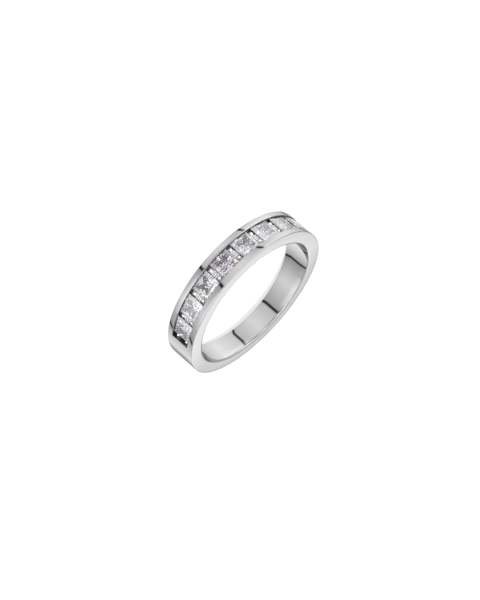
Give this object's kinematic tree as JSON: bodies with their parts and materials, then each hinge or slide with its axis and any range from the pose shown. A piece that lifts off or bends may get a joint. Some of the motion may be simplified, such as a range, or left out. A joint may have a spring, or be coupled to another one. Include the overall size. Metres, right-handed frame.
{
  "type": "half-eternity finger ring",
  "caption": "White metal finger ring with a tapering band and a channel across the front that holds square-cut clear stones between cross bars.",
  "frame": {"origin": "on the axis of the finger bore, in the plane of the side face that the ring rests on (the box centre is 0.09 mm from it along Y)", "axes": "+Z along the finger bore, up from the resting side face; +Y towards the middle of the row of stones; X along the row there"},
  "size_m": [0.0208, 0.0208, 0.0039],
  "materials": {
    "band": "mirror-polished white metal",
    "stone": "clear faceted diamond"
  },
  "bodies": {
    "root": {"band": "band", "stone_1": "stone", "stone_2": "stone", "stone_3": "stone", "stone_4": "stone", "stone_5": "stone", "stone_6": "stone", "stone_7": "stone", "stone_8": "stone"}
  },
  "joints": []
}
